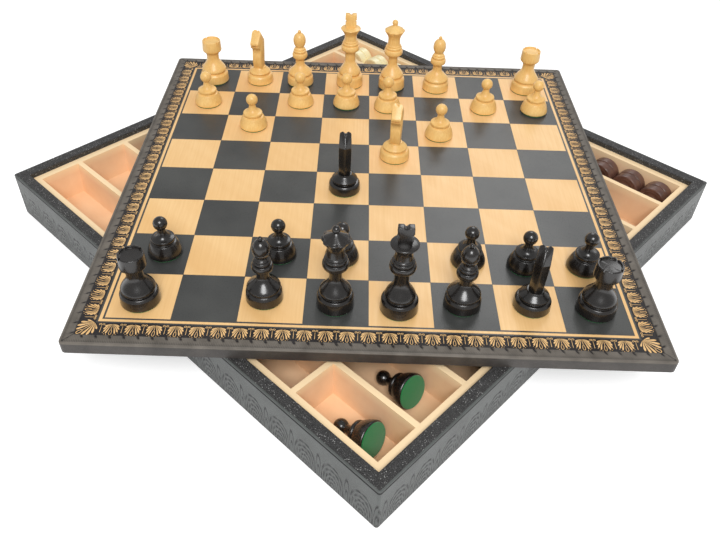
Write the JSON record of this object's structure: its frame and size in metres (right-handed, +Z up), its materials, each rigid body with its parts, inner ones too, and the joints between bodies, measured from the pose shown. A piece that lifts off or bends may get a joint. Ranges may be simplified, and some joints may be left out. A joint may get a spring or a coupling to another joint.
{
  "type": "games compendium box",
  "caption": "Square leatherette box with a divided tray, a loose chessboard lid, turned chessmen and draughts.",
  "frame": {"origin": "centre of the box's underside, on the surface it stands on", "axes": "+X along the front-left wall to the front corner, +Y from that wall to the back-right wall, +Z up; the picture looks from between +X and -Y"},
  "size_m": [0.4656, 0.4656, 0.101],
  "materials": {
    "base_paper": "matte",
    "box_timber": "matte",
    "box_leatherette": "embossed, semi-gloss",
    "rim_leatherette": "grained, semi-gloss",
    "tray_velvet": "satin",
    "lid_paper": "matte",
    "lid_board": "matte",
    "lid_leatherette": "embossed, semi-gloss",
    "dark_squares": "smooth, semi-gloss",
    "gilt_foil": "satin foil",
    "ebonised_wood": "gloss",
    "boxwood": "satin",
    "dark_draught_wood": "satin",
    "cream_draught_wood": "satin"
  },
  "bodies": {
    "box": {"base_lining": "base_paper", "base_panel": "box_timber", "wall_front_left": "box_timber", "wall_front_right": "box_timber", "wall_back_right": "box_timber", "wall_back_left": "box_timber", "side_cover": "box_leatherette", "rim_cover": "rim_leatherette", "tray": "tray_velvet"},
    "lid": {"lid_lining": "lid_paper", "lid_core": "lid_board", "lid_border": "lid_leatherette", "board_leather": "dark_squares", "gilt_squares": "gilt_foil"},
    "black_rook_left": {"black_rook_left": "ebonised_wood"},
    "black_bishop_left": {"black_bishop_left": "ebonised_wood"},
    "black_queen": {"black_queen": "ebonised_wood"},
    "black_king": {"black_king": "ebonised_wood"},
    "black_bishop_right": {"black_bishop_right": "ebonised_wood"},
    "black_knight_right": {"black_knight_right": "ebonised_wood"},
    "black_rook_right": {"black_rook_right": "ebonised_wood"},
    "black_knight_left": {"black_knight_left": "ebonised_wood"},
    "black_pawn_1": {"black_pawn_1": "ebonised_wood"},
    "black_pawn_2": {"black_pawn_2": "ebonised_wood"},
    "black_pawn_3": {"black_pawn_3": "ebonised_wood"},
    "black_pawn_4": {"black_pawn_4": "ebonised_wood"},
    "black_pawn_5": {"black_pawn_5": "ebonised_wood"},
    "black_pawn_6": {"black_pawn_6": "ebonised_wood"},
    "black_pawn_7": {"black_pawn_7": "ebonised_wood"},
    "black_pawn_8": {"black_pawn_8": "ebonised_wood"},
    "white_rook_left": {"white_rook_left": "boxwood"},
    "white_knight_left": {"white_knight_left": "boxwood"},
    "white_bishop_left": {"white_bishop_left": "boxwood"},
    "white_king": {"white_king": "boxwood"},
    "white_queen": {"white_queen": "boxwood"},
    "white_bishop_right": {"white_bishop_right": "boxwood"},
    "white_rook_right": {"white_rook_right": "boxwood"},
    "white_knight_right": {"white_knight_right": "boxwood"},
    "white_pawn_1": {"white_pawn_1": "boxwood"},
    "white_pawn_2": {"white_pawn_2": "boxwood"},
    "white_pawn_3": {"white_pawn_3": "boxwood"},
    "white_pawn_4": {"white_pawn_4": "boxwood"},
    "white_pawn_5": {"white_pawn_5": "boxwood"},
    "white_pawn_6": {"white_pawn_6": "boxwood"},
    "white_pawn_7": {"white_pawn_7": "boxwood"},
    "white_pawn_8": {"white_pawn_8": "boxwood"},
    "dark_draught_1": {"dark_draught_1": "dark_draught_wood"},
    "dark_draught_2": {"dark_draught_2": "dark_draught_wood"},
    "dark_draught_3": {"dark_draught_3": "dark_draught_wood"},
    "dark_draught_4": {"dark_draught_4": "dark_draught_wood"},
    "dark_draught_5": {"dark_draught_5": "dark_draught_wood"},
    "dark_draught_6": {"dark_draught_6": "dark_draught_wood"},
    "cream_draught_1": {"cream_draught_1": "cream_draught_wood"},
    "cream_draught_2": {"cream_draught_2": "cream_draught_wood"},
    "cream_draught_3": {"cream_draught_3": "cream_draught_wood"},
    "cream_draught_4": {"cream_draught_4": "cream_draught_wood"},
    "cream_draught_5": {"cream_draught_5": "cream_draught_wood"},
    "cream_draught_6": {"cream_draught_6": "cream_draught_wood"},
    "dark_draughts_under_lid": {"dark_draughts_under_lid": "dark_draught_wood"},
    "cream_draughts_under_lid": {"cream_draughts_under_lid": "cream_draught_wood"}
  },
  "joints": [
    {"name": "lid_lift", "type": "slide", "parent": "box", "child": "lid", "axis": [0, 0, 1], "range_m": [0, 0.12]},
    {"name": "black_rook_left_lift", "type": "slide", "parent": "lid", "child": "black_rook_left", "axis": [0, 0, 1], "range_m": [0, 0.075]},
    {"name": "black_bishop_left_lift", "type": "slide", "parent": "lid", "child": "black_bishop_left", "axis": [0, 0, 1], "range_m": [0, 0.075]},
    {"name": "black_queen_lift", "type": "slide", "parent": "lid", "child": "black_queen", "axis": [0, 0, 1], "range_m": [0, 0.075]},
    {"name": "black_king_lift", "type": "slide", "parent": "lid", "child": "black_king", "axis": [0, 0, 1], "range_m": [0, 0.075]},
    {"name": "black_bishop_right_lift", "type": "slide", "parent": "lid", "child": "black_bishop_right", "axis": [0, 0, 1], "range_m": [0, 0.075]},
    {"name": "black_knight_right_lift", "type": "slide", "parent": "lid", "child": "black_knight_right", "axis": [0, 0, 1], "range_m": [0, 0.075]},
    {"name": "black_rook_right_lift", "type": "slide", "parent": "lid", "child": "black_rook_right", "axis": [0, 0, 1], "range_m": [0, 0.075]},
    {"name": "black_knight_left_lift", "type": "slide", "parent": "lid", "child": "black_knight_left", "axis": [0, 0, 1], "range_m": [0, 0.075]},
    {"name": "black_pawn_1_lift", "type": "slide", "parent": "lid", "child": "black_pawn_1", "axis": [0, 0, 1], "range_m": [0, 0.075]},
    {"name": "black_pawn_2_lift", "type": "slide", "parent": "lid", "child": "black_pawn_2", "axis": [0, 0, 1], "range_m": [0, 0.075]},
    {"name": "black_pawn_3_lift", "type": "slide", "parent": "lid", "child": "black_pawn_3", "axis": [0, 0, 1], "range_m": [0, 0.075]},
    {"name": "black_pawn_4_lift", "type": "slide", "parent": "lid", "child": "black_pawn_4", "axis": [0, 0, 1], "range_m": [0, 0.075]},
    {"name": "black_pawn_5_lift", "type": "slide", "parent": "lid", "child": "black_pawn_5", "axis": [0, 0, 1], "range_m": [0, 0.075]},
    {"name": "black_pawn_6_lift", "type": "slide", "parent": "lid", "child": "black_pawn_6", "axis": [0, 0, 1], "range_m": [0, 0.075]},
    {"name": "white_rook_left_lift", "type": "slide", "parent": "lid", "child": "white_rook_left", "axis": [0, 0, 1], "range_m": [0, 0.075]},
    {"name": "white_knight_left_lift", "type": "slide", "parent": "lid", "child": "white_knight_left", "axis": [0, 0, 1], "range_m": [0, 0.075]},
    {"name": "white_bishop_left_lift", "type": "slide", "parent": "lid", "child": "white_bishop_left", "axis": [0, 0, 1], "range_m": [0, 0.075]},
    {"name": "white_king_lift", "type": "slide", "parent": "lid", "child": "white_king", "axis": [0, 0, 1], "range_m": [0, 0.075]},
    {"name": "white_queen_lift", "type": "slide", "parent": "lid", "child": "white_queen", "axis": [0, 0, 1], "range_m": [0, 0.075]},
    {"name": "white_bishop_right_lift", "type": "slide", "parent": "lid", "child": "white_bishop_right", "axis": [0, 0, 1], "range_m": [0, 0.075]},
    {"name": "white_rook_right_lift", "type": "slide", "parent": "lid", "child": "white_rook_right", "axis": [0, 0, 1], "range_m": [0, 0.075]},
    {"name": "white_knight_right_lift", "type": "slide", "parent": "lid", "child": "white_knight_right", "axis": [0, 0, 1], "range_m": [0, 0.075]},
    {"name": "white_pawn_1_lift", "type": "slide", "parent": "lid", "child": "white_pawn_1", "axis": [0, 0, 1], "range_m": [0, 0.075]},
    {"name": "white_pawn_2_lift", "type": "slide", "parent": "lid", "child": "white_pawn_2", "axis": [0, 0, 1], "range_m": [0, 0.075]},
    {"name": "white_pawn_3_lift", "type": "slide", "parent": "lid", "child": "white_pawn_3", "axis": [0, 0, 1], "range_m": [0, 0.075]},
    {"name": "white_pawn_4_lift", "type": "slide", "parent": "lid", "child": "white_pawn_4", "axis": [0, 0, 1], "range_m": [0, 0.075]},
    {"name": "white_pawn_5_lift", "type": "slide", "parent": "lid", "child": "white_pawn_5", "axis": [0, 0, 1], "range_m": [0, 0.075]},
    {"name": "white_pawn_6_lift", "type": "slide", "parent": "lid", "child": "white_pawn_6", "axis": [0, 0, 1], "range_m": [0, 0.075]},
    {"name": "white_pawn_7_lift", "type": "slide", "parent": "lid", "child": "white_pawn_7", "axis": [0, 0, 1], "range_m": [0, 0.075]},
    {"name": "white_pawn_8_lift", "type": "slide", "parent": "lid", "child": "white_pawn_8", "axis": [0, 0, 1], "range_m": [0, 0.075]},
    {"name": "black_pawn_7_lift", "type": "slide", "parent": "box", "child": "black_pawn_7", "axis": [0, 0, 1], "range_m": [0, 0.07]},
    {"name": "black_pawn_8_lift", "type": "slide", "parent": "box", "child": "black_pawn_8", "axis": [0.4236, -0.4559, 0.7828], "range_m": [0, 0.08]},
    {"name": "dark_draught_1_lift", "type": "slide", "parent": "box", "child": "dark_draught_1", "axis": [0, 0, 1], "range_m": [0, 0.06]},
    {"name": "dark_draught_2_lift", "type": "slide", "parent": "box", "child": "dark_draught_2", "axis": [0, 0, 1], "range_m": [0, 0.06]},
    {"name": "dark_draught_3_lift", "type": "slide", "parent": "box", "child": "dark_draught_3", "axis": [0, 0, 1], "range_m": [0, 0.06]},
    {"name": "dark_draught_4_lift", "type": "slide", "parent": "box", "child": "dark_draught_4", "axis": [0, 0, 1], "range_m": [0, 0.06]},
    {"name": "dark_draught_5_lift", "type": "slide", "parent": "box", "child": "dark_draught_5", "axis": [0, 0, 1], "range_m": [0, 0.06]},
    {"name": "dark_draught_6_lift", "type": "slide", "parent": "box", "child": "dark_draught_6", "axis": [0, 0, 1], "range_m": [0, 0.06]},
    {"name": "cream_draught_1_lift", "type": "slide", "parent": "box", "child": "cream_draught_1", "axis": [0, 0, 1], "range_m": [0, 0.06]},
    {"name": "cream_draught_2_lift", "type": "slide", "parent": "box", "child": "cream_draught_2", "axis": [0, 0, 1], "range_m": [0, 0.06]},
    {"name": "cream_draught_3_lift", "type": "slide", "parent": "box", "child": "cream_draught_3", "axis": [0, 0, 1], "range_m": [0, 0.06]},
    {"name": "cream_draught_4_lift", "type": "slide", "parent": "box", "child": "cream_draught_4", "axis": [0, 0, 1], "range_m": [0, 0.06]},
    {"name": "cream_draught_5_lift", "type": "slide", "parent": "box", "child": "cream_draught_5", "axis": [0, 0, 1], "range_m": [0, 0.06]},
    {"name": "cream_draught_6_lift", "type": "slide", "parent": "box", "child": "cream_draught_6", "axis": [0, 0, 1], "range_m": [0, 0.06]},
    {"name": "dark_draughts_under_lid_lift", "type": "slide", "parent": "box", "child": "dark_draughts_under_lid", "axis": [0, 0, 1], "range_m": [0, 0.005]},
    {"name": "cream_draughts_under_lid_lift", "type": "slide", "parent": "box", "child": "cream_draughts_under_lid", "axis": [0, 0, 1], "range_m": [0, 0.005]}
  ]
}
